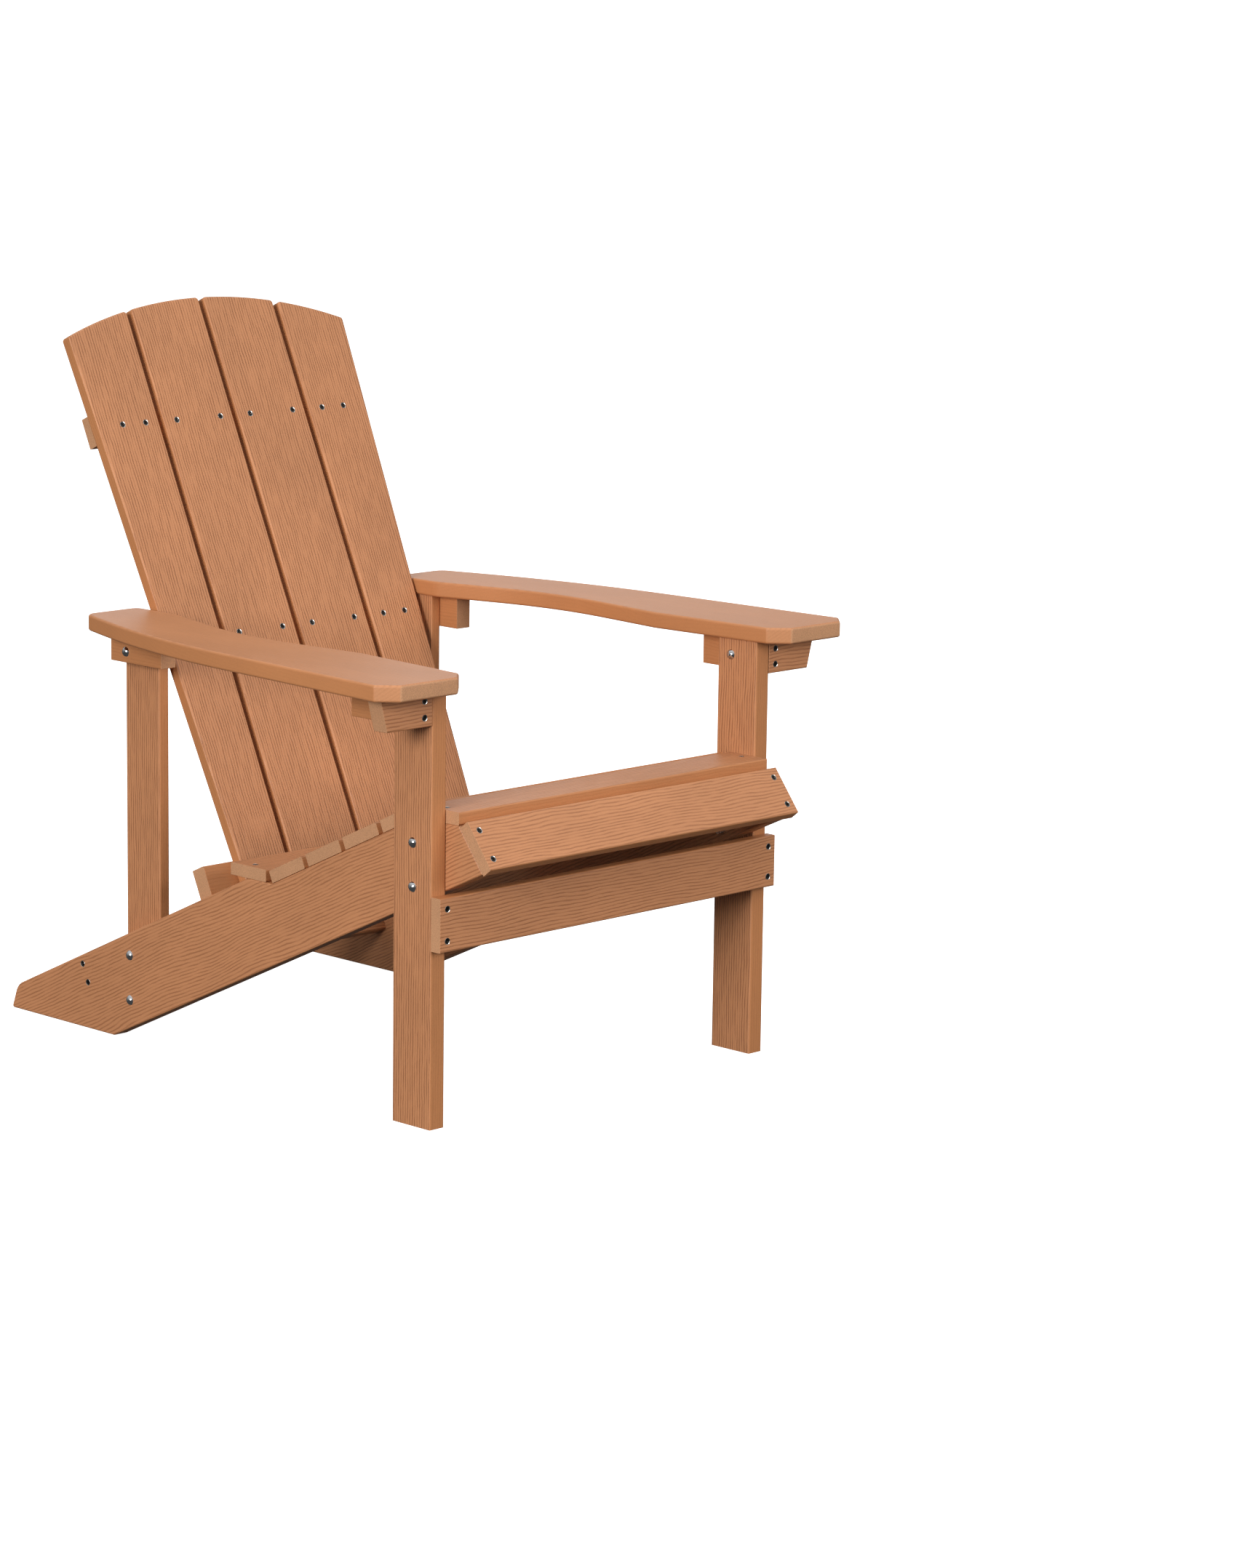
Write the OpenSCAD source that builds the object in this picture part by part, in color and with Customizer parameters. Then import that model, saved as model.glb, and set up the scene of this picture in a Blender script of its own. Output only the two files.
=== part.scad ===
// Adirondack chair, bolted and screwed together from plastic lumber boards.
// Millimetres, +Z up. The origin is on the floor at the centre of the footprint.
// The sitter faces -Y, so the sitter's left hand is on +X.

/* [Boards] */
// Thickness of the structural boards: stringers, legs, cleats, brackets and rails
frame_t = 25; // [22:1:26]
// Thickness of the thin boards: slats, apron, front stretcher, rear posts and upper brace
board_t = 17; // [15:1:18]
// Thickness of the arms
arm_t = 22; // [18:1:25]
// Width of the narrow boards: legs, rear posts, seat slats, apron and front stretcher
board_w = 70; // [66:1:72]
// Height of the three back braces and of the rear stretcher
brace_h = 43; // [38:1:46]
// Height of the cleats and brackets that carry the arms
cleat_h = 45; // [42:1:50]

/* [Frame] */
// Width across the outer faces of the two stringers
seat_w = 564; // [554:2:600]
// Slope of the seat and lean of the back, in degrees
slope = 25; // [24:0.5:26]
// Underside of the arms above the floor
arm_z = 562; // [556:2:570]
// Distance from the front of the legs back to the stringer's heel on the floor
heel_y = 655; // [650:1:658]
// Length of the stringer's foot on the floor
foot_l = 222; // [200:1:230]
// Width of the stringer behind the seat
stringer_w = 120; // [118:1:122]
// Width of the stringer under the sloping seat
seat_rail_w = 100; // [99:1:101]
// Height of the front stretcher's lower edge above the floor
front_stretcher_z = 231; // [180:1:235]

/* [Seat] */
// Height of the level ledge under the rearmost slat
rear_ledge_z = 262; // [260:1:263]
// Height of the level ledge under the front slat
front_ledge_z = 391.5; // [390:0.5:393]
// How far the front slat stands out over the front of the legs
seat_overhang = 23; // [18:1:25]
// Gap between two seat slats on the slope
seat_gap = 8; // [6:1:8]
// Tilt of the apron away from vertical, in degrees
apron_tilt = 38; // [36:1:40]

/* [Back] */
// Distance of the back's front face from the heel, measured along the slope
back_u = 282; // [280:1:286]
// Top of the arch above the stringer's lower edge, measured square to the slope
back_top = 949; // [900:1:980]
// Radius of the top arch
arch_r = 720; // [600:10:900]
// Half width of the back at the bottom of the slats
back_half_low = 215; // [205:1:218]
// Half width of the back at the top corners
back_half_high = 248; // [240:1:250]
// Distance from the middle to the outer seams at the bottom of the slats
seam_low = 132; // [130:1:136]
// Distance from the middle to the outer seams at the top of the slats
seam_high = 132; // [130:1:136]
// Gap between two back slats
back_gap = 9; // [5:1:12]

/* [Arms] */
// Front overhang of the arm in front of the legs
arm_front = 43; // [35:1:50]
// Rear end of the arm, measured from the front of the legs
arm_rear = 656; // [656:1:665]
// Half width of the chair across the arms
arm_half = 423; // [420:1:430]

/* [Fasteners] */
// Shank diameter of the bolts
bolt_d = 8; // [6:1:8]
// Head diameter of the dome bolts
dome_d = 14; // [12:1:15]
// Shank diameter of the screws
screw_d = 4; // [3:0.5:4.5]
// Head diameter of the countersunk screws
screw_head_d = 9; // [8:0.5:10]
// Clearance of each hole around its shank, on the radius
clearance = 0.15; // [0.1:0.05:0.3]

/* [Hidden] */

$fn = 48;

board_colour = "#C38A60";
metal_colour = "#C9CCCE";

// Places across the chair, on the sitter's left side
rail_out = seat_w / 2;
rail_in = rail_out - frame_t;
rail_mid = rail_out - frame_t / 2;
leg_out = rail_out + frame_t;
leg_mid = rail_out + frame_t / 2;
cleat_out = leg_out + frame_t;
cleat_mid = leg_out + frame_t / 2;
post_in = rail_in - board_t;

// Rear post and rear cleat, measured from the front of the legs
post_y = heel_y - board_w;
post_low = 38;
cleat_z = arm_z - cleat_h;
front_cleat_rear = 121;
rear_cleat_front = 551;

// The slanted front end of the stringers, and the apron that lies on it
front_top = [-seat_overhang, front_ledge_z];
front_cut = above_edge(front_top) / cos(apron_tilt - slope);
front_bottom = front_top - front_cut * [sin(apron_tilt), cos(apron_tilt)];
apron_drop = 3;
apron_front = front_top[0] - board_t * cos(apron_tilt) - (apron_drop + board_w) * sin(apron_tilt);

// The toe at the rear end of the foot
toe_lean = 20;
toe_r = 3;
toe_top_r = 25;
toe_y = heel_y + foot_l;
toe_top = (stringer_w - foot_l * sin(slope)) / (cos(slope) - tan(toe_lean) * sin(slope));
toe_end = toe_y - toe_r / tan(45 - toe_lean / 2) + toe_r;
centre_y = (toe_end + apron_front) / 2;

// Seat slats: one on each ledge and four on the slope between them
rear_slat_y = on_level(seat_rail_w, rear_ledge_z) + 11;
sloped_slat_u = along_edge([on_level(seat_rail_w, rear_ledge_z), rear_ledge_z]) + 2;
slat_pitch = board_w + seat_gap;

// Back, in the leaning frame
back_low = 100;
rail_u = back_u - board_t;
lower_brace_z = stringer_w + brace_h / 2;
middle_brace_z = 469;
upper_brace_z = 775;
middle_brace_y = -rail_u + frame_t / 2;
lower_brace_half = 267;
upper_brace_half = 239;
back_screw_x = [27, 105, 160, 200];

// Rear stretcher, in the leaning frame
rear_stretcher_y = 22;
rear_stretcher_z = 94.5;

// Fasteners
bolt_r = bolt_d / 2;
dome_h = 4;
screw_r = screw_d / 2;
screw_head_r = screw_head_d / 2;
screw_head_h = 2.6;
screw_tip = 4;
nut_d = 14.6;
nut_h = 6.5;
nut_gap = 0.1;
leg_bolt_z = [308.5, 365];
post_bolt_z = [55, 117];
front_cleat_bolt = [47, 540];
bolt_tail = nut_h + 2;
lag_l = 45;
screw_pair = 41;
cleat_pair = 21;
stretcher_pair = 26.6;
slat_screw_l = 30;
frame_screw_l = 45;
long_screw_l = 58;

// Height of a point [y, z] above the stringer's lower edge, square to the slope
function above_edge(p) = (p[0] - heel_y) * sin(slope) + p[1] * cos(slope);

// Distance of a point [y, z] up the slope from the heel
function along_edge(p) = (heel_y - p[0]) * cos(slope) + p[1] * sin(slope);

// The y at which the line at height w above the stringer's lower edge crosses the level z
function on_level(w, z) = heel_y + (w - z * cos(slope)) / sin(slope);

// Height of the top arch at x, in the leaning frame
function arch_z(x) = back_top - arch_r + sqrt(arch_r * arch_r - x * x);

// A true circular arc of radius r in the corner p between its neighbours a and b
function corner_arc(a, p, b, r, steps = 8) =
    r == 0 ? [p] :
    let (
        to_a = (a - p) / norm(a - p),
        to_b = (b - p) / norm(b - p),
        half = acos(to_a * to_b) / 2,
        start = p + to_a * r / tan(half),
        end = p + to_b * r / tan(half)
    )
    [
        for (i = [0 : steps])
            let (t = i / steps, u = 1 - t, k = 2 * t * u * sin(half))
            (u * u * start + k * p + t * t * end) / (u * u + k + t * t)
    ];

// An outline from corners [x, y, radius]
function rounded(corners) =
    let (n = len(corners), xy = [for (c = corners) [c[0], c[1]]])
    [for (i = [0 : n - 1]) each corner_arc(xy[(i + n - 1) % n], xy[i], xy[(i + 1) % n], corners[i][2])];

// ---------------------------------------------------------------- frames

// Moves the chair from the front of its legs to the centre of its footprint
module place() {
    translate([0, -centre_y, 0]) children();
}

// The leaning frame: its origin is at the heel, -Y runs up the slope and +Z stands square to it
module leaning() {
    translate([0, heel_y, 0]) rotate([-slope, 0, 0]) children();
}

// The apron's frame: +Z runs up the slanted front end of the stringers
module on_apron() {
    translate([0, front_top[0], front_top[1]]) rotate([-apron_tilt, 0, 0]) children();
}

module both_sides() {
    children();
    mirror([1, 0, 0]) children();
}

// A board seen from the side, from x0 to x0 + t
module side_board(outline, x0, t) {
    translate([x0, 0, 0]) rotate([90, 0, 90]) linear_extrude(t) polygon(outline);
}

// A board seen from the front, from y0 to y0 + t
module front_board(outline, y0, t) {
    translate([0, y0 + t, 0]) rotate([90, 0, 0]) linear_extrude(t) polygon(outline);
}

// ---------------------------------------------------------------- fastener shapes
// Each one is driven along -Z into the face z = 0.

module screw(l) {
    rotate_extrude() polygon([
        [0, 0], [screw_head_r, 0], [screw_r, -screw_head_h], [screw_r, screw_tip - l], [0, -l]
    ]);
}

module screw_hole(l) {
    r = screw_r + clearance;
    head = screw_head_r + clearance;
    rotate_extrude() polygon([
        [0, 1], [head, 1], [head, -clearance], [r, -screw_head_h - clearance], [r, -l - 1], [0, -l - 1]
    ]);
}

module dome_bolt(l) {
    dome_r = dome_d / 2;
    ball_r = (dome_r * dome_r + dome_h * dome_h) / (2 * dome_h);
    intersection() {
        translate([0, 0, dome_h - ball_r]) sphere(ball_r);
        cylinder(r = dome_r + 1, h = dome_h + 1);
    }
    translate([0, 0, -l]) cylinder(r = bolt_r, h = l + 1);
}

module bolt_hole(l) {
    translate([0, 0, -l - 1]) cylinder(r = bolt_r + clearance, h = l + 2);
}

module nut() {
    difference() {
        cylinder(d = nut_d, h = nut_h, $fn = 6);
        translate([0, 0, -1]) cylinder(r = bolt_r + nut_gap, h = nut_h + 2);
    }
}

// ---------------------------------------------------------------- fastener places, left side

// Turns a fastener so that its head points out, to +X
module heads_out() {
    rotate([0, 90, 0]) children();
}

module at_leg_bolts() {
    for (z = leg_bolt_z) translate([leg_out, board_w / 2, z]) heads_out() children();
}

module at_post_bolts() {
    for (z = post_bolt_z) translate([rail_out, post_y + board_w / 2, z]) heads_out() children();
}

module at_front_cleat_bolt() {
    translate([rail_out, front_cleat_bolt[0], front_cleat_bolt[1]]) rotate([0, -90, 0]) children();
}

module at_rear_cleat_bolt() {
    leaning() translate([rail_out, middle_brace_y, middle_brace_z]) heads_out() children();
}

module at_back_screws(z) {
    leaning() for (x = back_screw_x) translate([x, -back_u, z]) rotate([90, 0, 0]) children();
}

module at_seat_screws() {
    translate([rail_mid, rear_slat_y + board_w / 2, rear_ledge_z + board_t]) children();
    translate([rail_mid, board_w / 2 - seat_overhang, front_ledge_z + board_t]) children();
    leaning() for (i = [0 : 3])
        translate([rail_mid, -sloped_slat_u - i * slat_pitch - board_w / 2, seat_rail_w + board_t])
            children();
}

module at_apron_screws() {
    for (side = [-1, 1])
        on_apron() translate([rail_mid, -board_t, -apron_drop - board_w / 2 + side * screw_pair / 2])
            rotate([90, 0, 0]) children();
}

module at_front_stretcher_screws() {
    for (side = [-1, 1])
        translate([leg_mid, -board_t, front_stretcher_z + board_w / 2 + side * screw_pair / 2])
            rotate([90, 0, 0]) children();
}

module at_rear_stretcher_screws() {
    leaning() for (side = [-1, 1])
        translate([rail_out, rear_stretcher_y, rear_stretcher_z + side * stretcher_pair / 2])
            heads_out() children();
}

module at_bracket_screws() {
    for (side = [-1, 1])
        translate([cleat_mid, 0, cleat_z + cleat_h / 2 + side * cleat_pair / 2])
            rotate([90, 0, 0]) children();
}

// Two screws up through each cleat into the arm
module at_arm_screws() {
    for (y = [75, 105]) translate([cleat_mid, y, cleat_z]) rotate([180, 0, 0]) children();
    for (y = [570, 600]) translate([rail_mid, y, cleat_z]) rotate([180, 0, 0]) children();
}

module at_brace_screws() {
    leaning() translate([rail_in + 5, -rail_u + frame_t / 2, stringer_w + brace_h]) children();
}

// ---------------------------------------------------------------- side frames, left side

// The sloping side board: foot, rear part, two level ledges and the slanted front end
module stringer() {
    toe = [toe_y - toe_top * tan(toe_lean), toe_top];
    outline = rounded([
        [heel_y, 0, 0],
        [toe_y, 0, toe_r],
        [toe[0], toe[1], toe_top_r],
        [on_level(stringer_w, rear_ledge_z), rear_ledge_z, 40],
        [on_level(seat_rail_w, rear_ledge_z), rear_ledge_z, 0],
        [on_level(seat_rail_w, front_ledge_z), front_ledge_z, 0],
        [front_top[0], front_top[1], 0],
        [front_bottom[0], front_bottom[1], 0]
    ]);
    color(board_colour) difference() {
        side_board(outline, rail_in, frame_t);
        at_leg_bolts() bolt_hole(2 * frame_t);
        at_post_bolts() bolt_hole(frame_t);
        at_seat_screws() screw_hole(frame_screw_l);
        at_apron_screws() screw_hole(frame_screw_l);
        at_rear_stretcher_screws() screw_hole(long_screw_l);
        at_brace_screws() screw_hole(long_screw_l + 12);
    }
}

module front_leg() {
    color(board_colour) difference() {
        translate([rail_out, 0, 0]) cube([frame_t, board_w, arm_z]);
        at_leg_bolts() bolt_hole(2 * frame_t);
        at_front_cleat_bolt() bolt_hole(2 * frame_t);
        at_front_stretcher_screws() screw_hole(frame_screw_l);
    }
}

module rear_post() {
    color(board_colour) difference() {
        translate([post_in, post_y, post_low]) cube([board_t, board_w, arm_z - post_low]);
        at_post_bolts() bolt_hole(frame_t + board_t);
        at_rear_cleat_bolt() bolt_hole(frame_t + board_t);
    }
}

// The arm: clipped front corners, a waist on the inner edge and a tapering rear end
module arm() {
    clip = 24;
    inner_front = 280;
    inner_rear = 235;
    outline = rounded([
        [inner_front + clip, -arm_front, 5],
        [arm_half - clip, -arm_front, 5],
        [arm_half, clip - arm_front, 5],
        [arm_half - 30, 446, 1300],
        [324, arm_rear, 20],
        [inner_rear, arm_rear, 14],
        [inner_rear, 572, 60],
        [inner_front + 8, 384, 500],
        [inner_front - 14, 175, 0],
        [inner_front, clip - arm_front, 5]
    ]);
    color(board_colour) difference() {
        translate([0, 0, arm_z]) linear_extrude(arm_t) polygon(outline);
        at_arm_screws() screw_hole(long_screw_l);
    }
}

// The block along the outer face of the front leg
module front_cleat() {
    color(board_colour) difference() {
        translate([leg_out, frame_t, cleat_z]) cube([frame_t, front_cleat_rear - frame_t, cleat_h]);
        at_front_cleat_bolt() bolt_hole(2 * frame_t);
        at_bracket_screws() screw_hole(long_screw_l);
        at_arm_screws() screw_hole(long_screw_l);
    }
}

// The bracket across the front end of the cleat, with its outer end slanted
module arm_bracket() {
    bracket_l = 75;
    slant = 12;
    outline = [
        [leg_out, cleat_z],
        [leg_out + bracket_l, cleat_z],
        [leg_out + bracket_l + slant, arm_z],
        [leg_out, arm_z]
    ];
    color(board_colour) difference() {
        front_board(outline, 0, frame_t);
        at_bracket_screws() screw_hole(long_screw_l);
    }
}

// The block along the outer face of the rear post
module rear_cleat() {
    color(board_colour) difference() {
        translate([rail_in, rear_cleat_front, cleat_z])
            cube([frame_t, heel_y - rear_cleat_front, cleat_h]);
        at_rear_cleat_bolt() bolt_hole(frame_t);
        at_arm_screws() screw_hole(long_screw_l);
    }
}

// ---------------------------------------------------------------- back

// One slat between x = low[0] .. low[1] at the bottom and high[0] .. high[1] at the arch
module back_slat(low, high) {
    steps = 10;
    corner_r = 5;
    arch = [
        for (i = [0 : steps])
            let (x = high[1] + (high[0] - high[1]) * i / steps)
            [x, arch_z(x), i == 0 || i == steps ? corner_r : 0]
    ];
    outline = rounded(concat([[low[0], back_low, 0], [low[1], back_low, 0]], arch));
    color(board_colour) difference() {
        leaning() front_board(outline, -back_u, board_t);
        both_sides() for (z = [lower_brace_z, middle_brace_z, upper_brace_z])
            at_back_screws(z) screw_hole(slat_screw_l);
    }
}

module outer_slat() {
    back_slat(
        [seam_low + back_gap / 2, back_half_low],
        [seam_high + back_gap / 2, back_half_high]
    );
}

module inner_slat() {
    back_slat([back_gap / 2, seam_low - back_gap / 2], [back_gap / 2, seam_high - back_gap / 2]);
}

// A rail across the back, centred at height z in the leaning frame, behind the slats
module back_rail(half, t, z) {
    leaning() translate([-half, -rail_u, z - brace_h / 2]) cube([2 * half, t, brace_h]);
}

module back_brace_upper() {
    color(board_colour) difference() {
        back_rail(upper_brace_half, board_t, upper_brace_z);
        both_sides() at_back_screws(upper_brace_z) screw_hole(slat_screw_l);
    }
}

module back_brace_middle() {
    color(board_colour) difference() {
        back_rail(post_in, frame_t, middle_brace_z);
        both_sides() at_back_screws(middle_brace_z) screw_hole(slat_screw_l);
        both_sides() at_rear_cleat_bolt() bolt_hole(frame_t + board_t + lag_l);
    }
}

module back_brace_lower() {
    color(board_colour) difference() {
        back_rail(lower_brace_half, frame_t, lower_brace_z);
        both_sides() at_back_screws(lower_brace_z) screw_hole(slat_screw_l);
        both_sides() at_brace_screws() screw_hole(long_screw_l + 12);
    }
}

// ---------------------------------------------------------------- seat

// A seat slat with its front lower edge at the origin of its own frame
module seat_slat_board() {
    translate([-rail_out, 0, 0]) cube([seat_w, board_w, board_t]);
}

// Slat 1 is the rearmost one, slats 2 to 5 lie on the slope, and slat 6 is the front one
module seat_slat(i) {
    color(board_colour) difference() {
        if (i == 1) {
            translate([0, rear_slat_y, rear_ledge_z]) seat_slat_board();
        } else if (i == 6) {
            translate([0, -seat_overhang, front_ledge_z]) seat_slat_board();
        } else {
            leaning() translate([0, -sloped_slat_u - (i - 2) * slat_pitch - board_w, seat_rail_w])
                seat_slat_board();
        }
        both_sides() at_seat_screws() screw_hole(frame_screw_l);
    }
}

module seat_apron() {
    color(board_colour) difference() {
        on_apron() translate([-rail_out, -board_t, -apron_drop - board_w])
            cube([seat_w, board_t, board_w]);
        both_sides() at_apron_screws() screw_hole(frame_screw_l);
    }
}

module front_stretcher() {
    color(board_colour) difference() {
        translate([-leg_out, -board_t, front_stretcher_z]) cube([2 * leg_out, board_t, board_w]);
        both_sides() at_front_stretcher_screws() screw_hole(frame_screw_l);
    }
}

module rear_stretcher() {
    color(board_colour) difference() {
        leaning() translate([-rail_in, rear_stretcher_y - frame_t / 2, rear_stretcher_z - brace_h / 2])
            cube([2 * rail_in, frame_t, brace_h]);
        both_sides() at_rear_stretcher_screws() screw_hole(long_screw_l);
    }
}

// ---------------------------------------------------------------- fasteners, both sides

module leg_bolts() {
    color(metal_colour) both_sides() at_leg_bolts() dome_bolt(2 * frame_t + bolt_tail);
}

module leg_nuts() {
    color(metal_colour) both_sides() at_leg_bolts() translate([0, 0, -2 * frame_t - nut_h]) nut();
}

module post_bolts() {
    color(metal_colour) both_sides() at_post_bolts() dome_bolt(frame_t + board_t + bolt_tail);
}

module post_nuts() {
    color(metal_colour) both_sides() at_post_bolts()
        translate([0, 0, -frame_t - board_t - nut_h]) nut();
}

module front_cleat_bolts() {
    color(metal_colour) both_sides() at_front_cleat_bolt() dome_bolt(2 * frame_t + bolt_tail);
}

module front_cleat_nuts() {
    color(metal_colour) both_sides() at_front_cleat_bolt()
        translate([0, 0, -2 * frame_t - nut_h]) nut();
}

module rear_cleat_bolts() {
    color(metal_colour) both_sides() at_rear_cleat_bolt() dome_bolt(frame_t + board_t + lag_l);
}

module back_screws(z) {
    color(metal_colour) both_sides() at_back_screws(z) screw(slat_screw_l);
}

module seat_slat_screws() {
    color(metal_colour) both_sides() at_seat_screws() screw(frame_screw_l);
}

module apron_screws() {
    color(metal_colour) both_sides() at_apron_screws() screw(frame_screw_l);
}

module front_stretcher_screws() {
    color(metal_colour) both_sides() at_front_stretcher_screws() screw(frame_screw_l);
}

module rear_stretcher_screws() {
    color(metal_colour) both_sides() at_rear_stretcher_screws() screw(long_screw_l);
}

module bracket_screws() {
    color(metal_colour) both_sides() at_bracket_screws() screw(long_screw_l);
}

module arm_screws() {
    color(metal_colour) both_sides() at_arm_screws() screw(long_screw_l);
}

module brace_screws() {
    color(metal_colour) both_sides() at_brace_screws() screw(long_screw_l + 12);
}

// ---------------------------------------------------------------- the chair

place() stringer();  // stringer_left
place() mirror([1, 0, 0]) stringer();  // stringer_right
place() front_leg();  // front_leg_left
place() mirror([1, 0, 0]) front_leg();  // front_leg_right
place() rear_post();  // rear_post_left
place() mirror([1, 0, 0]) rear_post();  // rear_post_right
place() arm();  // arm_left
place() mirror([1, 0, 0]) arm();  // arm_right
place() front_cleat();  // front_cleat_left
place() mirror([1, 0, 0]) front_cleat();  // front_cleat_right
place() arm_bracket();  // arm_bracket_left
place() mirror([1, 0, 0]) arm_bracket();  // arm_bracket_right
place() rear_cleat();  // rear_cleat_left
place() mirror([1, 0, 0]) rear_cleat();  // rear_cleat_right
place() mirror([1, 0, 0]) outer_slat();  // back_slat_1
place() mirror([1, 0, 0]) inner_slat();  // back_slat_2
place() inner_slat();  // back_slat_3
place() outer_slat();  // back_slat_4
place() back_brace_upper();
place() back_brace_middle();
place() back_brace_lower();
place() seat_slat(1);  // seat_slat_1
place() seat_slat(2);  // seat_slat_2
place() seat_slat(3);  // seat_slat_3
place() seat_slat(4);  // seat_slat_4
place() seat_slat(5);  // seat_slat_5
place() seat_slat(6);  // seat_slat_6
place() seat_apron();
place() front_stretcher();
place() rear_stretcher();
place() leg_bolts();
place() leg_nuts();
place() post_bolts();
place() post_nuts();
place() front_cleat_bolts();
place() front_cleat_nuts();
place() rear_cleat_bolts();
place() back_screws(upper_brace_z);  // back_screws_upper
place() back_screws(middle_brace_z);  // back_screws_middle
place() back_screws(lower_brace_z);  // back_screws_lower
place() seat_slat_screws();
place() apron_screws();
place() front_stretcher_screws();
place() rear_stretcher_screws();
place() bracket_screws();
place() arm_screws();
place() brace_screws();
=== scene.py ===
"""The looks of the Adirondack chair: every board gets its round-overs and a plastic lumber
material with embossed grain, every screw gets a cross recess, and the bolts are polished.
Lengths are in metres, in the frame of the CAD model."""

import math

import bmesh
import bpy
from mathutils import Matrix, Vector
from mathutils.geometry import tessellate_polygon


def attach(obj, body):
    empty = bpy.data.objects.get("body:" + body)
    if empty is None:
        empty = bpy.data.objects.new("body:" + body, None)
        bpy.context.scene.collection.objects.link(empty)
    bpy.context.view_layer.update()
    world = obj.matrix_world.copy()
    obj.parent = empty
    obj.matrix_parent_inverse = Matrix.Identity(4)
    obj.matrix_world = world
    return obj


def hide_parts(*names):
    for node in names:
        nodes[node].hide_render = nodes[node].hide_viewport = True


MM = 0.001

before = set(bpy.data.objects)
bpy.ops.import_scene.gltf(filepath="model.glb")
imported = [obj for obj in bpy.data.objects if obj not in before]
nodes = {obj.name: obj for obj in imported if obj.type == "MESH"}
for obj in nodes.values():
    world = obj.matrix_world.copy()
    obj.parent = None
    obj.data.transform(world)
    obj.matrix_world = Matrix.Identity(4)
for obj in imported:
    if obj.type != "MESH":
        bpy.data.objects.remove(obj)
bpy.context.view_layer.update()


# ---------------------------------------------------------------- directions of the boards

SLOPE = math.radians(25)
APRON_TILT = math.radians(38)
X, Y, Z = Vector((1, 0, 0)), Vector((0, 1, 0)), Vector((0, 0, 1))
UPHILL = Vector((0, -math.cos(SLOPE), math.sin(SLOPE)))
SQUARE = Vector((0, math.sin(SLOPE), math.cos(SLOPE)))
APRON_OUT = Vector((0, -math.cos(APRON_TILT), math.sin(APRON_TILT)))


# ---------------------------------------------------------------- shader building


class Shader:
    """A material and short ways to add its nodes. An input is a value or another node's output."""

    def __init__(self, name):
        self.material = bpy.data.materials.new(name)
        self.material.use_nodes = True
        self.tree = self.material.node_tree
        self.bsdf = self.tree.nodes["Principled BSDF"]

    def put(self, socket, value):
        if isinstance(value, bpy.types.NodeSocket):
            self.tree.links.new(value, socket)
        elif value is not None:
            socket.default_value = value

    def node(self, kind, output, inputs=(), **settings):
        n = self.tree.nodes.new(kind)
        for key, value in settings.items():
            setattr(n, key, value)
        for key, value in dict(inputs).items():
            self.put(n.inputs[key], value)
        return n.outputs[output]

    def attribute(self, name):
        return self.node("ShaderNodeAttribute", "Vector", attribute_name=name)

    def split(self, vector):
        """The three parts of a vector."""
        n = self.tree.nodes.new("ShaderNodeSeparateXYZ")
        self.put(n.inputs[0], vector)
        return n.outputs[0], n.outputs[1], n.outputs[2]

    def join(self, x=0.0, y=0.0, z=0.0):
        return self.node("ShaderNodeCombineXYZ", 0, {0: x, 1: y, 2: z})

    def math(self, operation, *values):
        return self.node("ShaderNodeMath", 0, enumerate(values), operation=operation)

    def stretched(self, vector, scale):
        """The vector times that scale along each axis: the noise cells in a metre."""
        return self.node("ShaderNodeVectorMath", 0, {0: vector, 1: scale}, operation="MULTIPLY")

    def noise(self, vector, detail=2.0, roughness=0.5):
        inputs = {"Vector": vector, "Scale": 1.0, "Detail": detail, "Roughness": roughness}
        return self.node("ShaderNodeTexNoise", 0, inputs)

    def ramp(self, value, low, high, out_low=0.0, out_high=1.0):
        """A smooth rise from out_low to out_high as the value goes from low to high."""
        inputs = {0: value, 1: low, 2: high, 3: out_low, 4: out_high}
        return self.node("ShaderNodeMapRange", 0, inputs, interpolation_type="SMOOTHSTEP")

    def mix(self, factor, a, b):
        n = self.tree.nodes.new("ShaderNodeMix")
        n.data_type = "RGBA"
        for socket, value in zip((n.inputs[0], n.inputs[6], n.inputs[7]), (factor, a, b)):
            self.put(socket, value)
        return n.outputs[2]

    def brighten(self, colour, value):
        return self.node("ShaderNodeHueSaturation", 0, {"Color": colour, "Value": value})


def srgb(code):
    """The linear colour of a hex code."""
    parts = [int(code[i : i + 2], 16) / 255 for i in (0, 2, 4)]
    linear = [c / 12.92 if c <= 0.04045 else ((c + 0.055) / 1.055) ** 2.4 for c in parts]
    return (*linear, 1.0)


FACE_COLOUR = srgb("C3865C")
LINE_COLOUR = srgb("74401F")
EDGE_COLOUR = srgb("BC7C4C")
CUT_COLOUR = srgb("C28F68")


WOBBLE = 2.6 * MM
EDGE_SHARE = 0.75
SKIN_DEPTH = 0.05 * MM
SAWN_DEPTH = 0.25 * MM
SAWN_ROUGHER = 0.22


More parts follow.
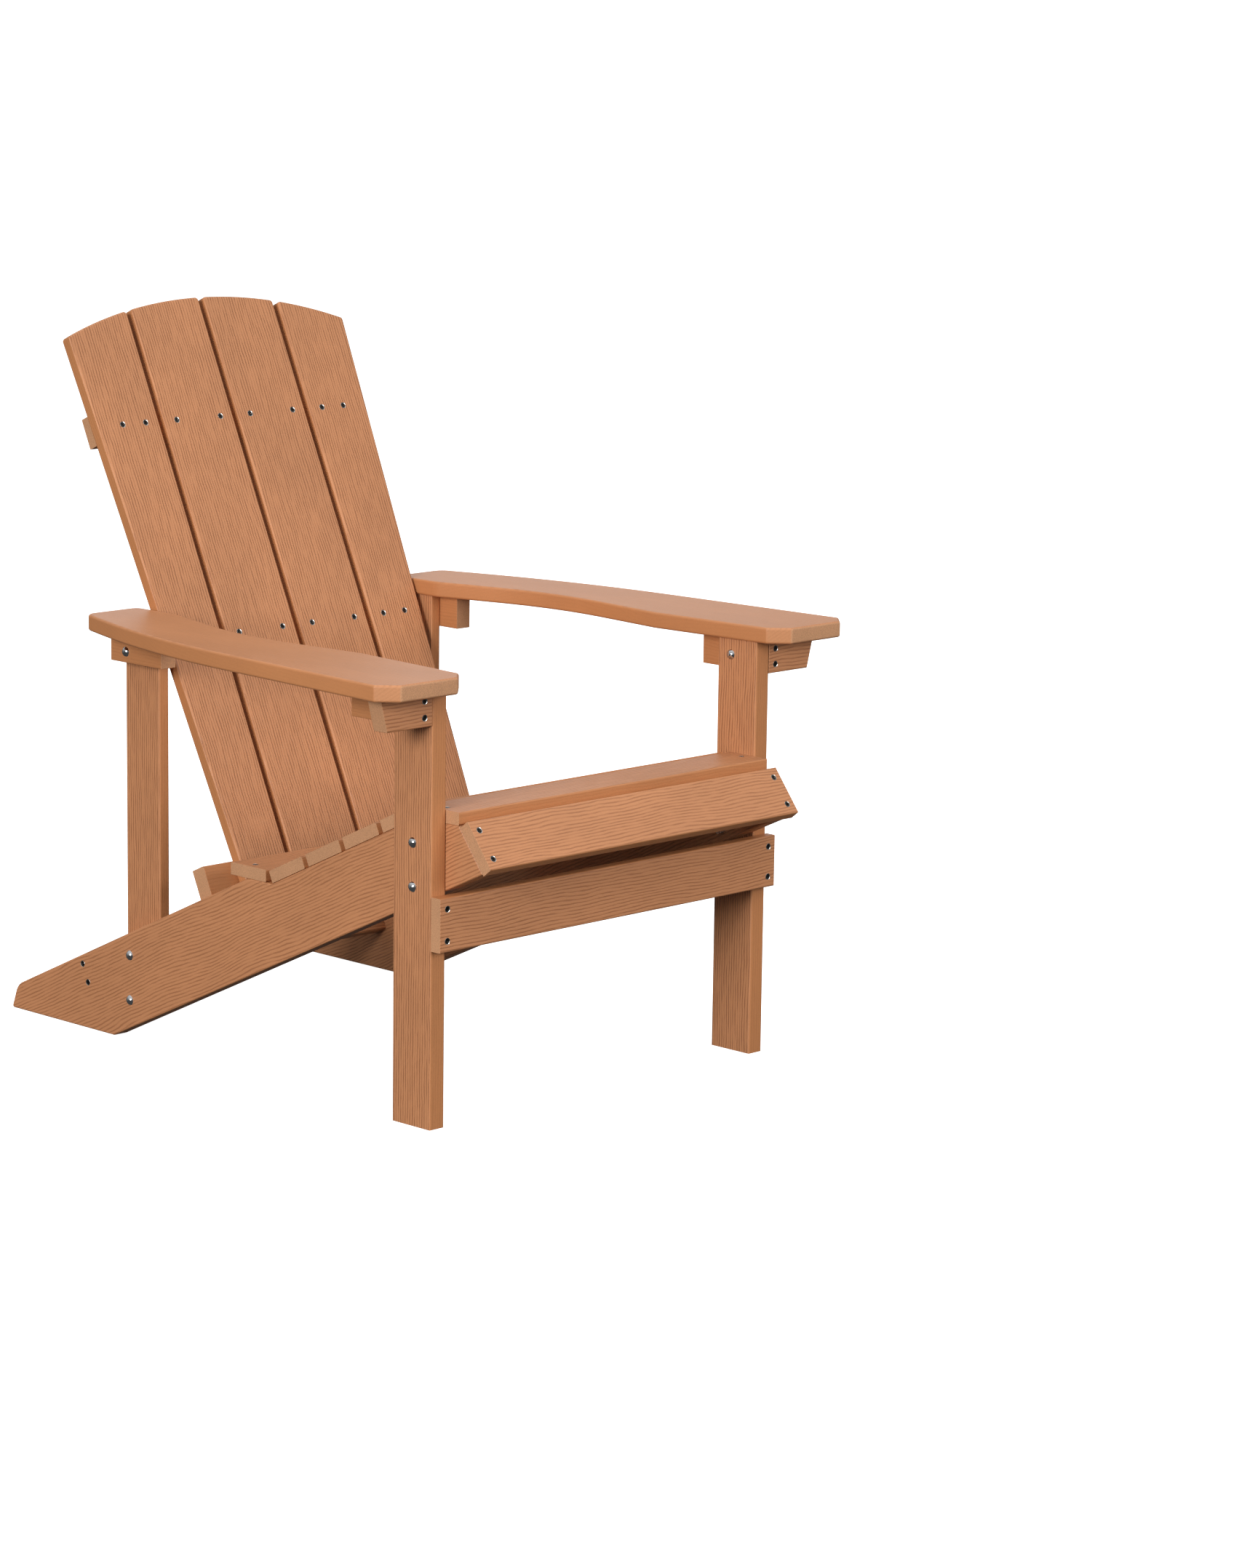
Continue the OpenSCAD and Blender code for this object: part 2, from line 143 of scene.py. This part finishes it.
def lumber(name, pitch, waviness, depth, contrast):
    """Plastic lumber with embossed grain lines at that pitch, which run along the board. The
    lines bend by the waviness, and are as deep and as dark as depth and contrast say.
    Each board carries its own coordinates in two attributes: "board" is the place along,
    across and through it, and "facing" says which way the surface looks in that frame."""
    s = Shader(name)
    board = s.attribute("board")
    along, across, through = s.split(board)
    cut, edge, _ = s.split(s.attribute("facing"))
    cut = s.ramp(cut, 0.6, 0.95)
    edge = s.ramp(edge, 0.45, 0.9)
    sideways = s.math("ADD", across, through)
    plane = s.join(along, sideways)

    # Slow bends of the grain, then a finer wobble, both as sideways shifts of the lines
    bend = s.math("SUBTRACT", s.noise(s.stretched(plane, (7, 16, 1)), 1.0), 0.5)
    wobble = s.math("SUBTRACT", s.noise(s.stretched(plane, (42, 90, 1)), 2.0), 0.5)
    shift = s.math("ADD", s.math("MULTIPLY", bend, waviness), s.math("MULTIPLY", wobble, WOBBLE))
    phase = s.math("MULTIPLY", s.math("ADD", sideways, shift), math.tau / pitch)
    wave = s.math("SINE", phase)
    groove = s.ramp(wave, -0.15, 0.95)
    fade = s.ramp(s.noise(s.stretched(plane, (28, 150, 1)), 2.0), 0.3, 0.6, 0.3, 1.0)
    closed = s.math("MAXIMUM", cut, s.math("MULTIPLY", edge, EDGE_SHARE))
    open_face = s.math("SUBTRACT", 1.0, closed)
    groove = s.math("MULTIPLY", s.math("MULTIPLY", groove, fade), open_face)

    # Fine skin of the moulding, and the open texture of a sawn end
    skin = s.noise(s.stretched(board, (500, 1100, 1100)), 3.0, 0.6)
    crumbs = s.noise(s.stretched(board, (650, 650, 650)), 4.0, 0.75)
    mottle = s.noise(s.stretched(board, (5, 11, 11)), 2.0)

    colour = s.mix(s.math("MULTIPLY", edge, EDGE_SHARE), FACE_COLOUR, EDGE_COLOUR)
    colour = s.mix(cut, colour, CUT_COLOUR)
    colour = s.mix(s.math("MULTIPLY", groove, contrast), colour, LINE_COLOUR)
    speckle = s.ramp(skin, 0.25, 0.75, -0.05, 0.05)
    value = s.math("ADD", s.ramp(mottle, 0.3, 0.7, 0.95, 1.04), speckle)
    sawn = s.math("MULTIPLY", cut, s.ramp(crumbs, 0.35, 0.65, -0.16, 0.10))
    s.put(s.bsdf.inputs["Base Color"], s.brighten(colour, s.math("ADD", value, sawn)))

    rough = s.ramp(skin, 0.3, 0.7, 0.42, 0.54)
    s.put(s.bsdf.inputs["Roughness"], s.math("ADD", rough, s.math("MULTIPLY", cut, SAWN_ROUGHER)))
    s.put(s.bsdf.inputs["Specular IOR Level"], 0.45)

    relief = s.math("MULTIPLY", groove, -depth)
    relief = s.math("ADD", relief, s.math("MULTIPLY", skin, SKIN_DEPTH))
    relief = s.math("ADD", relief, s.math("MULTIPLY", s.math("MULTIPLY", cut, crumbs), SAWN_DEPTH))
    bump = s.node("ShaderNodeBump", 0, {"Strength": 1.0, "Distance": 1.0, "Height": relief})
    s.put(s.bsdf.inputs["Normal"], bump)
    return s.material


MARK_DEPTH = 0.02 * MM


def metal(name, colour, roughness, variation, scratches=0.0):
    """Bare metal whose roughness varies by that much, with fine marks if it has scratches."""
    s = Shader(name)
    place = s.node("ShaderNodeTexCoord", "Object")
    grime = s.noise(s.stretched(place, (260, 260, 260)), 3.0)
    marks = s.noise(s.stretched(place, (2600, 2600, 2600)), 2.0)
    s.put(s.bsdf.inputs["Metallic"], 1.0)
    s.put(s.bsdf.inputs["Base Color"], s.brighten(colour, s.ramp(grime, 0.3, 0.7, 0.9, 1.05)))
    s.put(s.bsdf.inputs["Roughness"], s.ramp(grime, 0.3, 0.7, roughness, roughness + variation))
    inputs = {"Strength": scratches, "Distance": MARK_DEPTH, "Height": marks}
    s.put(s.bsdf.inputs["Normal"], s.node("ShaderNodeBump", 0, inputs))
    return s.material


SLAT_LUMBER = lumber("lumber_fine_grain", 4.3 * MM, 9 * MM, 0.32 * MM, 0.56)
WAVY_LUMBER = lumber("lumber_wavy_grain", 4.6 * MM, 17 * MM, 0.26 * MM, 0.44)
PLAIN_LUMBER = lumber("lumber_plain", 5.0 * MM, 12 * MM, 0.06 * MM, 0.16)
CHROME = metal("polished_bolt", srgb("E4E5E7"), 0.05, 0.06)
ZINC = metal("bright_zinc", srgb("C9C8C4"), 0.22, 0.14, 0.3)
# Dark zinc for the screw heads' dish and cross recess: painted shade, a darker copy of the bright
# zinc.
SHADED_ZINC = metal("zinc_in_shade", srgb("4A4744"), 0.3, 0.2, 0.3)


# ---------------------------------------------------------------- boards


WELD = 0.002 * MM
SAME_PLANE = 0.02 * MM
FLAT_COS = 0.9999
STRAIGHT = math.radians(0.2)
CORNER = math.radians(20)
ALONG_COS = 0.97
BEVEL_SEGMENTS = 4
COUNTERSINK_R = (4.3 * MM, 5.3 * MM)
COUNTERSINK_DEPTH = 2.7 * MM
COUNTERSINK_FLOOR = 0.45
AROUND = 28
AROUND_TURNS = [math.tau * i / AROUND for i in range(AROUND)]


def welded(node):
    """The CAD node's mesh with its split corners joined again."""
    mesh = bmesh.new()
    mesh.from_mesh(nodes[node].data)
    bmesh.ops.remove_doubles(mesh, verts=mesh.verts, dist=WELD)
    bmesh.ops.recalc_face_normals(mesh, faces=mesh.faces)
    return mesh


def rims(mesh, out):
    """The closed outlines of the flat face that looks along out, the board's own outline first."""
    flat = [f for f in mesh.faces if f.normal.dot(out) > FLAT_COS]
    level = max(f.calc_center_median().dot(out) for f in flat)
    flat = [f for f in flat if abs(f.calc_center_median().dot(out) - level) < SAME_PLANE]
    inside = set(flat)
    following = {}
    for face in flat:
        for loop in face.loops:
            if not any(f in inside for f in loop.edge.link_faces if f is not face):
                following[loop.vert] = loop.link_loop_next.vert
    found = []
    while following:
        start, vert = following.popitem()
        points = [start.co.copy()]
        while vert is not start:
            points.append(vert.co.copy())
            vert = following.pop(vert)
        found.append(points)
    return sorted(found, key=lambda points: -spread(points))


def spread(points):
    """The largest distance of the points from their middle."""
    centre = sum(points, Vector()) / len(points)
    return max((p - centre).length for p in points)


def corners(points):
    """The outline without the points that lie on a straight run."""
    kept = []
    for i, p in enumerate(points):
        before, after = p - points[i - 1], points[(i + 1) % len(points)] - p
        if before.length > WELD / 2 and before.angle(after, 0) > STRAIGHT:
            kept.append(p)
    return kept


def countersinks(mesh, out):
    """(centre, radius, outward) of each countersunk hole in the two flat faces across out."""
    found = []
    for side in (out, -out):
        for points in rims(mesh, side)[1:]:
            centre = sum(points, Vector()) / len(points)
            radius = spread(points)
            if COUNTERSINK_R[0] < radius < COUNTERSINK_R[1]:
                found.append((centre, radius, side))
    return found


def sink(piece, holes):
    """Opens each countersunk hole in the board's flat faces, as a cone that ends inside."""
    mesh = bmesh.new()
    mesh.from_mesh(piece.data)
    for side in sorted({tuple(out) for _, _, out in holes}):
        out = Vector(side)
        facing_out = [f for f in mesh.faces if f.normal.dot(out) > FLAT_COS]
        flat = max(facing_out, key=lambda f: f.calc_area())
        rows = [list(flat.verts)]
        for centre, radius, facing in holes:
            if facing.dot(out) < 0.5:
                continue
            turn = out.to_track_quat("Z", "Y").to_matrix()
            spokes = [turn @ Vector((math.cos(t), math.sin(t), 0)) for t in AROUND_TURNS]
            mouth = [mesh.verts.new(centre + d * radius) for d in spokes]
            depth = centre - out * COUNTERSINK_DEPTH
            floor = [mesh.verts.new(depth + d * radius * COUNTERSINK_FLOOR) for d in spokes]
            for i, vert in enumerate(mouth):
                j = (i + 1) % len(mouth)
                mesh.faces.new((vert, mouth[j], floor[j], floor[i]))
                mesh.edges.get((vert, mouth[j])).smooth = False
            mesh.faces.new(floor)
            rows.append(mouth)
        points = [v for row in rows for v in row]
        mesh.faces.remove(flat)
        for corner in tessellate_polygon([[v.co for v in row] for row in rows]):
            face = mesh.faces.new([points[i] for i in corner])
            face.normal_update()
            if face.normal.dot(out) < 0:
                face.normal_flip()
    for face in mesh.faces:
        face.smooth = True
    mesh.to_mesh(piece.data)
    mesh.free()


def solid(points, out, thickness, radius_of, corner_r):
    """The board as a plain prism. Each edge holds the radius that it will be rounded to, as a
    share of the largest."""
    mesh = bmesh.new()
    top = [mesh.verts.new(p) for p in points]
    low = [mesh.verts.new(p - out * thickness) for p in points]
    mesh.faces.new(top)
    mesh.faces.new(reversed(low))
    count = len(points)
    for i in range(count):
        j = (i + 1) % count
        mesh.faces.new((top[j], top[i], low[i], low[j]))
    bmesh.ops.recalc_face_normals(mesh, faces=mesh.faces)
    share = mesh.edges.layers.float.new("bevel_weight_edge")
    ways = [(points[i] - points[i - 1]).normalized() for i in range(count)]
    largest = max([corner_r] + [radius_of(way) for way in ways])
    for edge in mesh.edges:
        way = (edge.verts[0].co - edge.verts[1].co).normalized()
        if abs(way.dot(out)) < 0.5:
            edge[share] = radius_of(way) / largest
        elif edge.calc_face_angle(0) > CORNER:
            edge[share] = corner_r / largest
    data = bpy.data.meshes.new("board")
    mesh.to_mesh(data)
    mesh.free()
    return data, largest


def evaluated(obj):
    """The object's mesh with its modifiers applied."""
    bpy.context.view_layer.update()
    graph = bpy.context.evaluated_depsgraph_get()
    return bpy.data.meshes.new_from_object(obj.evaluated_get(graph), depsgraph=graph)


def write_board_frame(mesh, centre, grain, out, seed):
    """The two attributes that the lumber material reads."""
    side = out.cross(grain)
    axes = (grain, side, out)
    offset = Vector([share * seed % 1 for share in (0.37, 0.61, 0.83)]) * 3
    board = mesh.attributes.new("board", "FLOAT_VECTOR", "POINT")
    for vert in mesh.vertices:
        place = vert.co - centre
        board.data[vert.index].vector = Vector([place.dot(a) for a in axes]) + offset
    facing = mesh.attributes.new("facing", "FLOAT_VECTOR", "CORNER")
    for i, normal in enumerate(mesh.corner_normals):
        facing.data[i].vector = [abs(normal.vector.dot(a)) for a in axes]


def build_board(node, out, grain, material, long_r=2.6, end_r=0.5, corner_r=0.5):
    """The finished board for a CAD node: out is across its flat face and grain along it. The
    radii, in millimetres, are for the edges along the grain, those of the sawn ends, and the
    edges between the two flat faces at the outline's corners."""
    mesh = welded(node)
    outline = corners(rims(mesh, out)[0])
    levels = [v.co.dot(out) for v in mesh.verts]
    holes = countersinks(mesh, out)
    mesh.free()

    def radius_of(way):
        return (long_r if abs(way.dot(grain)) > ALONG_COS else end_r) * MM

    data, largest = solid(outline, out, max(levels) - min(levels), radius_of, corner_r * MM)
    piece = bpy.data.objects.new(node + "_board", data)
    bpy.context.scene.collection.objects.link(piece)
    bevel = piece.modifiers.new("round_over", "BEVEL")
    bevel.limit_method = "WEIGHT"
    bevel.width = largest
    bevel.segments = BEVEL_SEGMENTS
    bevel.use_clamp_overlap = False
    data.shade_smooth()
    piece.data = evaluated(piece)
    piece.modifiers.clear()
    if holes:
        sink(piece, holes)
    smooth = piece.modifiers.new("normals", "WEIGHTED_NORMAL")
    smooth.weight = 100
    smooth.keep_sharp = True
    finished = evaluated(piece)
    piece.modifiers.clear()
    piece.data = finished
    centre = sum(outline, Vector()) / len(outline)
    write_board_frame(finished, centre, grain, out, sorted(nodes).index(node) + 1)
    finished.materials.clear()
    finished.materials.append(material)
    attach(piece, "root")
    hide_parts(node)


for side in ("_left", "_right"):
    build_board("stringer" + side, X, UPHILL, WAVY_LUMBER, long_r=2.2, end_r=2.2)
    build_board("front_leg" + side, X, Z, SLAT_LUMBER)
    build_board("rear_post" + side, X, Z, SLAT_LUMBER)
    build_board("arm" + side, Z, Y, PLAIN_LUMBER, long_r=3.5, end_r=3.5, corner_r=0.8)
    build_board("front_cleat" + side, Z, Y, WAVY_LUMBER, long_r=1.5)
    build_board("rear_cleat" + side, Z, Y, WAVY_LUMBER, long_r=1.5)
    build_board("arm_bracket" + side, -Y, X, WAVY_LUMBER)
for number in (1, 2, 3, 4):
    slat = f"back_slat_{number}"
    build_board(slat, UPHILL, SQUARE, SLAT_LUMBER, long_r=2.8, end_r=2.8, corner_r=0.8)
for number in (1, 6):
    build_board(f"seat_slat_{number}", Z, X, WAVY_LUMBER)
for number in (2, 3, 4, 5):
    build_board(f"seat_slat_{number}", SQUARE, X, WAVY_LUMBER)
build_board("back_brace_upper", UPHILL, X, WAVY_LUMBER)
build_board("back_brace_middle", UPHILL, X, WAVY_LUMBER)
build_board("back_brace_lower", SQUARE, X, WAVY_LUMBER)
build_board("rear_stretcher", UPHILL, X, WAVY_LUMBER)
build_board("seat_apron", APRON_OUT, X, WAVY_LUMBER)
build_board("front_stretcher", -Y, X, WAVY_LUMBER)


# ---------------------------------------------------------------- screws

HEAD_R = 4.5 * MM
HEAD_BEVEL = 0.25 * MM
DISH_R = 3.6 * MM
DISH_DEPTH = 0.35 * MM
CROSS_ARM = 2.3 * MM
CROSS_HALF_W = 0.6 * MM
CROSS_DEPTH = 1.5 * MM
CROSS_TAPER = 0.6
SHANK_R = 2.0 * MM
HEAD_H = 2.6 * MM
TIP_L = 4.0 * MM
TIP_R = 0.2 * MM
FACE_DEPTH = 0.1 * MM
SHARP = math.radians(35)


def islands(mesh):
    """The vertices of each connected part of a mesh."""
    left = dict.fromkeys(mesh.verts)
    while left:
        todo, part = [left.popitem()[0]], []
        while todo:
            vert = todo.pop()
            part.append(vert)
            for edge in vert.link_edges:
                other = edge.other_vert(vert)
                if other in left:
                    del left[other]
                    todo.append(other)
        yield part


def screw_places(node):
    """(centre of the head's face, outward direction, length) of each screw in a CAD node."""
    mesh = welded(node)
    found = []
    for part in islands(mesh):
        areas = {}
        for face in dict.fromkeys(f for v in part for f in v.link_faces):
            key = tuple(round(c, 3) for c in face.normal)
            areas[key] = areas.get(key, 0) + face.calc_area()
        out = Vector(max(areas, key=areas.get)).normalized()
        heights = [v.co.dot(out) for v in part]
        level = max(heights)
        rim = [v.co for v, h in zip(part, heights) if level - h < FACE_DEPTH]
        corner_low = Vector(map(min, *rim))
        corner_high = Vector(map(max, *rim))
        found.append(((corner_low + corner_high) / 2, out, level - min(heights)))
    mesh.free()
    return found


def ring(mesh, radius, height):
    """The vertices of a circle around Z."""
    places = [(radius * math.cos(t), radius * math.sin(t), height) for t in AROUND_TURNS]
    return [mesh.verts.new(place) for place in places]


def bridge(mesh, upper, lower, material=0, smooth=True):
    """A wall of faces between two closed rows of vertices."""
    for i, vert in enumerate(upper):
        j = (i + 1) % len(upper)
        face = mesh.faces.new((upper[j], vert, lower[i], lower[j]))
        face.material_index = material
        face.smooth = smooth


def cross(size):
    """The outline of the cross recess, counterclockwise."""
    arm, half = CROSS_ARM * size, CROSS_HALF_W * size
    quarter = [Vector((arm, -half, 0)), Vector((arm, half, 0)), Vector((half, half, 0))]
    return [Matrix.Rotation(math.pi / 2 * i, 3, "Z") @ p for i in range(4) for p in quarter]


def screw_mesh(mesh, length, place):
    """Adds one screw to the mesh: a countersunk head with a cross recess, a shank and a tip. The
    head's face inside the dish and the cross recess get the second, dark material, which is
    painted shade.
    """
    first = len(mesh.verts)
    rim = ring(mesh, HEAD_R - HEAD_BEVEL, 0)
    tip = [(SHANK_R, TIP_L - length), (TIP_R, -length)]
    profile = [(HEAD_R, -HEAD_BEVEL), (SHANK_R, -HEAD_H), *tip]
    above = rim
    for radius, height in profile:
        below = ring(mesh, radius, height)
        bridge(mesh, above, below)
        above = below
    mesh.faces.new(reversed(above))
    dish = ring(mesh, DISH_R, -DISH_DEPTH)
    bridge(mesh, dish, rim)
    mouth = [mesh.verts.new(p - Vector((0, 0, DISH_DEPTH))) for p in cross(1)]
    floor = [mesh.verts.new(p - Vector((0, 0, CROSS_DEPTH))) for p in cross(CROSS_TAPER)]
    # Material 1 on the cross recess and the face inside the dish is painted shade.
    bridge(mesh, mouth, floor, 1, False)
    mesh.faces.new(floor).material_index = 1
    shell = dish + mouth
    for corner in tessellate_polygon([[v.co for v in dish], [v.co for v in mouth]]):
        a, b, c = (shell[i] for i in corner)
        face = mesh.faces.new((a, b, c))
        face.material_index = 1
        face.normal_update()
        if face.normal.z < 0:
            face.normal_flip()
    mesh.verts.ensure_lookup_table()
    for vert in mesh.verts[first:]:
        vert.co = place @ vert.co


def build_screws(node):
    """All the screws of a CAD node, each with its recess turned another way."""
    mesh = bmesh.new()
    for index, (centre, out, length) in enumerate(screw_places(node)):
        spin = Matrix.Rotation(math.radians(37 * index + 20), 4, "Z")
        turn = out.to_track_quat("Z", "Y").to_matrix().to_4x4()
        screw_mesh(mesh, length, Matrix.Translation(centre) @ turn @ spin)
    bmesh.ops.recalc_face_normals(mesh, faces=mesh.faces)
    data = bpy.data.meshes.new(node)
    mesh.to_mesh(data)
    mesh.free()
    data.set_sharp_from_angle(angle=SHARP)
    data.materials.append(ZINC)
    data.materials.append(SHADED_ZINC)
    piece = bpy.data.objects.new(node + "_crossed", data)
    bpy.context.scene.collection.objects.link(piece)
    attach(piece, "root")
    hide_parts(node)


for node in [n for n in sorted(nodes) if "screws" in n]:
    build_screws(node)


# ---------------------------------------------------------------- bolts and nuts

for node, obj in nodes.items():
    if node.endswith("bolts"):
        obj.material_slots[0].material = CHROME
    elif node.endswith("nuts"):
        obj.material_slots[0].material = ZINC


# ---------------------------------------------------------------- floor, light and camera


def stage_floor():
    """A pale floor that reads white and throws no light back at the chair."""
    s = Shader("studio_floor")
    s.put(s.bsdf.inputs["Base Color"], (0.93, 0.93, 0.93, 1))
    s.put(s.bsdf.inputs["Roughness"], 0.9)
    s.put(s.bsdf.inputs["Specular IOR Level"], 0.1)
    s.put(s.bsdf.inputs["Emission Color"], (1, 1, 1, 1))
    s.put(s.bsdf.inputs["Emission Strength"], 0.9)
    mesh = bmesh.new()
    bmesh.ops.create_grid(mesh, x_segments=1, y_segments=1, size=150)
    data = bpy.data.meshes.new("studio_floor")
    mesh.to_mesh(data)
    mesh.free()
    data.materials.append(s.material)
    floor = bpy.data.objects.new("studio_floor", data)
    bpy.context.scene.collection.objects.link(floor)
    floor.visible_diffuse = False
    floor.visible_glossy = False


def lamp(name, place, size, power):
    """A round softbox at that place, aimed at the seat. The camera doesn't see it."""
    data = bpy.data.lights.new(name, "AREA")
    data.shape = "DISK"
    data.size = size
    data.energy = power
    obj = bpy.data.objects.new(name, data)
    obj.location = place
    obj.rotation_euler = (SEAT - Vector(place)).to_track_quat("-Z", "Y").to_euler()
    obj.visible_camera = False
    bpy.context.scene.collection.objects.link(obj)


def studio_world():
    """A white backdrop for the camera. What lights the chair is a room that is dark below and
    bright above."""
    world = bpy.data.worlds.new("studio")
    world.use_nodes = True
    tree = world.node_tree
    new, link = tree.nodes.new, tree.links.new
    path = new("ShaderNodeLightPath")
    place = new("ShaderNodeTexCoord")
    height = new("ShaderNodeSeparateXYZ")
    room = new("ShaderNodeMapRange")
    room.interpolation_type = "SMOOTHSTEP"
    for socket, value in zip(room.inputs[1:5], (-0.25, 0.9, ROOM_LOW, ROOM_HIGH)):
        socket.default_value = value
    seen = new("ShaderNodeMix")
    seen.inputs[3].default_value = BACKDROP
    link(place.outputs["Generated"], height.inputs[0])
    link(height.outputs[2], room.inputs[0])
    link(path.outputs["Is Camera Ray"], seen.inputs[0])
    link(room.outputs[0], seen.inputs[2])
    link(seen.outputs[0], tree.nodes["Background"].inputs["Strength"])
    tree.nodes["Background"].inputs["Color"].default_value = (1, 1, 1, 1)
    bpy.context.scene.world = world


SEAT = Vector((0, 0, 0.5))
BACKDROP = 1.1
ROOM_LOW, ROOM_HIGH = 0.06, 0.62
stage_floor()
studio_world()
lamp("front", (0.5, -6.0, 2.2), 2.6, 165)
lamp("left", (-6.3, -2.0, 2.2), 2.6, 340)
lamp("back", (3.5, 4.0, 2.2), 3.0, 22)
lamp("top", (0.3, 0.2, 4.2), 2.6, 25)

camera = bpy.data.objects.new("camera", bpy.data.cameras.new("camera"))
camera.data.lens = 105.60
camera.data.sensor_width = 36
camera.data.clip_end = 400
HEADING, PITCH, ROLL = (math.radians(a) for a in (45.698, -10.732, 0.836))
turn = (
    Matrix.Rotation(-HEADING, 4, "Z")
    @ Matrix.Rotation(math.pi / 2 + PITCH, 4, "X")
    @ Matrix.Rotation(ROLL, 4, "Z")
)
camera.matrix_world = Matrix.Translation((-4.1507, -4.48754, 1.51108)) @ turn
bpy.context.scene.collection.objects.link(camera)
bpy.context.scene.camera = camera
bpy.context.scene.view_settings.view_transform = "Standard"

bpy.context.view_layer.update()
